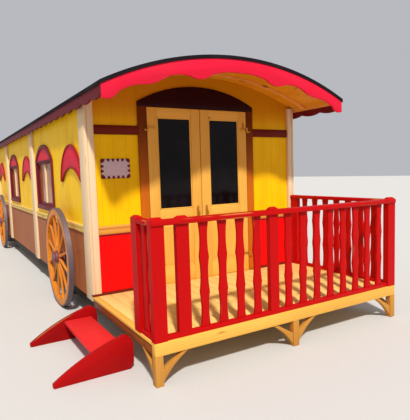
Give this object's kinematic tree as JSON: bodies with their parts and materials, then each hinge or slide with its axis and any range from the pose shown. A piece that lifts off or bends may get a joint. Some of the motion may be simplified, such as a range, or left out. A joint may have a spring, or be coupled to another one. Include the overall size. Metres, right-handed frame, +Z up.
{
  "type": "vardo wagon",
  "caption": "Bow-roofed wooden living wagon with glazed double doors, railed front porch, side steps and spoked wheels.",
  "frame": {"origin": "on the ground at the middle of the whole footprint, steps and drawbar included", "axes": "+X to the wagon's right seen from the porch, +Y along its length to the rear, +Z up"},
  "size_m": [3.553, 10.4348, 2.6998],
  "materials": {
    "yellow_boards": "satin painted boards",
    "red_paint": "gloss painted timber",
    "pink_red_paint": "gloss painted timber",
    "maroon_paint": "satin painted timber",
    "terracotta_paint": "satin painted boards",
    "cream_timber": "satin pale timber",
    "pine": "satin varnished pine",
    "dark_brown_paint": "satin stained timber",
    "wheel_wood": "stained and varnished timber",
    "iron": "worn dark iron",
    "brass": "satin lacquered brass",
    "black_steel": "satin black paint",
    "roof_covering": "matt black sheet",
    "dark_glass": "clear",
    "sign_enamel": "satin pale enamel"
  },
  "bodies": {
    "wagon": {"chassis_frame": "black_steel", "drawbar": "black_steel", "axle_front": "iron", "axle_rear": "iron", "cabin_floor": "pine", "wall_front": "yellow_boards", "wall_rear": "yellow_boards", "wall_left": "yellow_boards", "wall_right": "yellow_boards", "cabin_posts": "cream_timber", "belt_strips": "pine", "side_lower_panels": "terracotta_paint", "front_lower_panels": "red_paint", "front_bands": "dark_brown_paint", "roof_boards": "pine", "roof_cover": "roof_covering", "bargeboard_front": "pink_red_paint", "bargeboard_rear": "pink_red_paint", "eave_fascias": "maroon_paint", "door_casing": "dark_brown_paint", "door_hinges": "brass", "window_frames": "maroon_paint", "window_glass": "dark_glass", "crescents": "pink_red_paint", "sign_plate": "sign_enamel", "deck_boards": "pine", "deck_frame": "pine", "deck_legs": "pine", "railing_front": "red_paint", "railing_left": "red_paint", "railing_right": "red_paint", "step_stringers": "red_paint", "step_tread": "red_paint"},
    "door_left": {"door_left": "pine", "door_glass_left": "dark_glass"},
    "door_right": {"door_right": "pine", "door_glass_right": "dark_glass"},
    "wheel_front_left": {"wheel_front_left": "wheel_wood"},
    "wheel_front_right": {"wheel_front_right": "wheel_wood"},
    "wheel_rear_left": {"wheel_rear_left": "wheel_wood"},
    "wheel_rear_right": {"wheel_rear_right": "wheel_wood"}
  },
  "joints": [
    {"name": "door_left_hinge", "type": "hinge", "parent": "wagon", "child": "door_left", "pos_m": [-0.4475, -3.6935, 1.314], "axis": [0, 0, -1], "range_deg": [0, 110]},
    {"name": "door_right_hinge", "type": "hinge", "parent": "wagon", "child": "door_right", "pos_m": [0.8645, -3.6935, 1.314], "axis": [0, 0, 1], "range_deg": [0, 110]},
    {"name": "wheel_front_left_spin", "type": "hinge", "parent": "wagon", "child": "wheel_front_left", "pos_m": [-1.2075, -2.5925, 0.6], "axis": [1, 0, 0], "continuous": true},
    {"name": "wheel_front_right_spin", "type": "hinge", "parent": "wagon", "child": "wheel_front_right", "pos_m": [1.6945, -2.5925, 0.6], "axis": [1, 0, 0], "continuous": true},
    {"name": "wheel_rear_left_spin", "type": "hinge", "parent": "wagon", "child": "wheel_rear_left", "pos_m": [-1.2075, 2.9075, 0.6], "axis": [1, 0, 0], "continuous": true},
    {"name": "wheel_rear_right_spin", "type": "hinge", "parent": "wagon", "child": "wheel_rear_right", "pos_m": [1.6945, 2.9075, 0.6], "axis": [1, 0, 0], "continuous": true}
  ]
}
